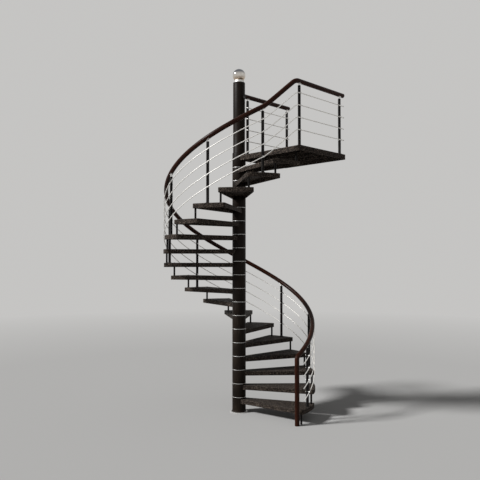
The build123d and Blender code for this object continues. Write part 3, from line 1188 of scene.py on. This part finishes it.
# Rod holders: a round stainless stud, bolted through the post, holds each rod in a cross bore. A
# round socket shows in its outer face and a bright domed nut on the post's other side.
holder_radius = 0.011
holder_past = 0.0080
holder_ease = 0.0010
holder_sunk = 0.0006
holder_sides = 24
socket_radius = 0.0042
socket_depth = 0.004
nut_dome = 0.0075
nut_wall = 0.003
nut_parts = 5.4
rod_stand_off = 0.010
rod_heights = (0.710, 0.542, 0.374, 0.206)

rod_circle = post_circle + post_radius + rod_stand_off


def holder(bm, foot, outward, rod_z):
    middle = Vector((foot.x, foot.y, rod_z))
    out = outward * (post_radius - holder_sunk)
    length = rod_stand_off + holder_past + holder_sunk
    profile = [(holder_radius, 0.0), (holder_radius, length * 0.5)]
    profile += [(holder_radius, length - holder_ease), (holder_radius - holder_ease, length)]
    profile += [(socket_radius + 0.0006, length), (socket_radius, length - 0.0006)]
    profile += [(socket_radius, length - socket_depth)]
    turned(bm, profile, facing(middle + out, outward, up), holder_sides)
    profile = [(nut_dome, 0.0), (nut_dome, nut_wall)]
    for i in range(1, 6):
        turn = math.radians(90 * i / nut_parts)
        profile.append((nut_dome * math.cos(turn), nut_wall + nut_dome * 0.7 * math.sin(turn)))
    turned(bm, profile, facing(middle - out, -outward, up), bolt_sides)


holders = bmesh.new()
holders_between = bmesh.new()
for bm, treads in ((holders, baluster_treads), (holders_between, between_treads)):
    for k in treads:
        angle = front_edge(k) + baluster_angle
        for height in rod_heights:
            rod_z = on_slope(rod_circle, angle, height).z
            holder(bm, baluster_foot(k), polar(1.0, angle), rod_z)
for foot in outer_feet + inner_feet:
    for height in rod_heights:
        holder(holders, foot, Vector((1, 0, 0)), landing_top + height)
finished(holders, "rod_holders", satin_steel, ["rod_clamps"])
finished(holders_between, "rod_holders_between", satin_steel)

# Guard rods: four solid stainless rods, Ø12, brushed along their length, follow the climb outside
# the balusters, bend at the landing's corner and run level almost to the wall. Four short ones
# guard the inner side. Every cut end has a small turned cap.
rod_radius = 0.006
rod_sides = 24
rod_start_angle = 8.0
rod_bend = 0.055
rod_end_y = 0.969
inner_rod_start = 0.012
cap_radius = 0.0088
cap_length = 0.013
cap_sides = 24
rod_light = (0.95, 0.93, 0.89, 1.0)
rod_dull = (0.82, 0.80, 0.765, 1.0)
rod_stain = (0.60, 0.52, 0.43, 1.0)
rod_metal = 0.62
brush_stretch = 0.004
brush_grain = 0.0009
brush_depth = 0.00001


def brushed_finish():
    finish, tree, shader = new_finish("brushed_stainless")
    lay = carried(tree, "straight").outputs["Vector"]
    pulled = stretched(tree, lay, (brush_stretch, 1.0, 1.0))
    lines = grains(tree, pulled, brush_grain, 2.0, 0.6)
    where = place_on(tree)
    cloud = grains(tree, where, 0.09, 4.0, 0.6)
    colour = blend(tree, levels(tree, lines, 0.3, 0.7), rod_dull, rod_light)
    stain = levels(tree, grains(tree, where, 0.035, 5.0, 0.7), 0.61, 0.74)
    colour = tinted(tree, colour, rod_stain, stain, 0.35)
    blur = levels(tree, cloud, 0.3, 0.7, 0.48, 0.62)
    feed(tree, shader, Base_Color=colour, Metallic=rod_metal, Roughness=blur)
    feed(tree, shader, Normal=relief(tree, lines, brush_depth))
    return finish


def rod_cap(bm, spot, ahead):
    profile = [(rod_radius, -cap_length * 0.5), (cap_radius, -cap_length * 0.42)]
    profile += [(cap_radius, cap_length * 0.25), (cap_radius * 0.86, cap_length * 0.42)]
    profile += [(cap_radius * 0.5, cap_length * 0.5)]
    turned(bm, profile, facing(spot, ahead), cap_sides)


brushed_steel = brushed_finish()
outer_rod_x = corner_post_x + post_radius + rod_stand_off
inner_rod_x = inner_post_x + post_radius + rod_stand_off
leave_ahead = slope_ahead(rod_circle, baluster_angles[-1])
caps = bmesh.new()
for number, height in enumerate(rod_heights, start=1):
    leave, corner, corner_ahead = run_to_corner(rod_circle, outer_rod_x, height)
    bend = rounded_corner(corner, corner_ahead, wall_ahead, rod_bend)
    end = Vector((outer_rod_x, rod_end_y, corner.z))
    path = joined(
        spiral(rod_circle, rod_start_angle, baluster_angles[-1], height, 1.5),
        eased(leave, leave_ahead, bend[0], corner_ahead, 24, run_pull, 1.0),
        bend,
        straight_run(bend[-1], end, 0.05),
    )
    rod = bmesh.new()
    tube_along(rod, path, rod_radius, rod_sides)
    finished(rod, f"guard_rod_{number}", brushed_steel, [f"rod_{number}"], tube_smooth)
    rod_cap(caps, path[0], path[0] - path[1])
    rod_cap(caps, end, wall_ahead)
short_rods = bmesh.new()
for height in rod_heights:
    start = Vector((inner_rod_x, inner_rod_start, landing_top + height))
    end = Vector((inner_rod_x, rod_end_y, landing_top + height))
    tube_along(short_rods, straight_run(start, end, 0.05), rod_radius, rod_sides)
    rod_cap(caps, start, -wall_ahead)
    rod_cap(caps, end, wall_ahead)
finished(short_rods, "guard_rods_inner", brushed_steel, ["inner_rods"], tube_smooth)
finished(caps, "guard_rod_caps", satin_steel)
